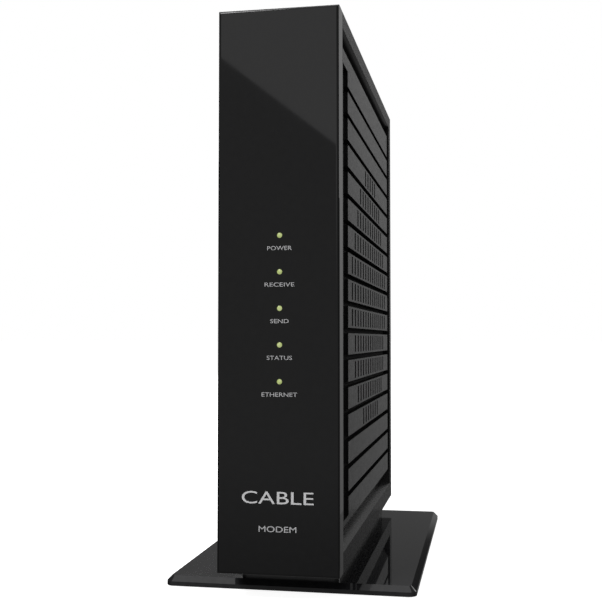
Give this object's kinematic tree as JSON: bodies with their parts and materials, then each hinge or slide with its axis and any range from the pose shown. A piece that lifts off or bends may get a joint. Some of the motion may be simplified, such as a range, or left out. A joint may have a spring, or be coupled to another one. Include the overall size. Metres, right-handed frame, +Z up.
{
  "type": "cable modem",
  "caption": "Upright black cable modem on a flat foot, with a glossy front, status lights, slatted vented sides and rear sockets.",
  "frame": {"origin": "on the surface that the modem stands on, at the middle of the bounding box", "axes": "+Z up, the front face looks along -Y, +X to the right seen from the front"},
  "size_m": [0.0878, 0.186, 0.197],
  "materials": {
    "front_shell": "polished black",
    "casing": "satin black, fine texture",
    "foot": "polished black",
    "neck": "satin black",
    "pads": "matt",
    "screws": "black oxide",
    "lamps": "clear, yellow-green",
    "light_guides": "clear moulded plastic, lit yellow-green",
    "guide_holder": "black, light-proof",
    "board": "green solder resist",
    "chips": "moulded black",
    "thermal_pad": "grey-blue silicone",
    "heat_sink": "extruded, anodised",
    "sink_pins": "natural nylon",
    "shield": "tinned",
    "crystals": "bright drawn",
    "capacitors": "dark sleeve, bright top",
    "inductors": "grey ferrite",
    "transformer": "moulded black",
    "socket": "moulded black",
    "gold": "gold plated",
    "nickel": "nickel plated",
    "insulator": "natural white",
    "jack": "moulded black",
    "switch": "moulded black",
    "rocker": "polished black",
    "plunger": "moulded red"
  },
  "bodies": {
    "modem": {"front_bezel": "front_shell", "housing_frame": "casing", "right_cover": "casing", "left_cover": "casing", "foot_plate": "foot", "foot_neck": "neck", "rubber_pads": "pads", "case_screws": "screws", "foot_screws": "screws", "board_screws": "screws", "status_leds": "lamps", "light_guides": "light_guides", "guide_holder": "guide_holder", "main_board": "board", "processor_chip": "chips", "small_chips": "chips", "thermal_pad": "thermal_pad", "heat_sink": "heat_sink", "heat_sink_pins": "sink_pins", "tuner_shield_frame": "shield", "tuner_shield_lid": "shield", "ethernet_shield": "shield", "crystals": "crystals", "capacitors": "capacitors", "power_inductors": "inductors", "ethernet_transformer": "transformer", "ethernet_housing": "socket", "ethernet_contacts": "gold", "coax_contact": "gold", "coax_body": "nickel", "coax_washer": "nickel", "coax_nut": "nickel", "power_jack_pin": "nickel", "coax_insulator": "insulator", "power_jack_housing": "jack", "switch_body": "switch", "reset_switch": "switch"},
    "rocker": {"power_rocker": "rocker"},
    "reset": {"reset_plunger": "plunger"}
  },
  "joints": [
    {"name": "power_rocker_tilt", "type": "hinge", "parent": "modem", "child": "rocker", "pos_m": [0, 0.0814, 0.06], "axis": [1, 0, 0], "range_deg": [0, 22]},
    {"name": "reset_press", "type": "slide", "parent": "modem", "child": "reset", "axis": [0, -1, 0], "range_m": [0, 0.0005], "stiffness_N_per_m": 300, "springref_m": -0.0005}
  ]
}
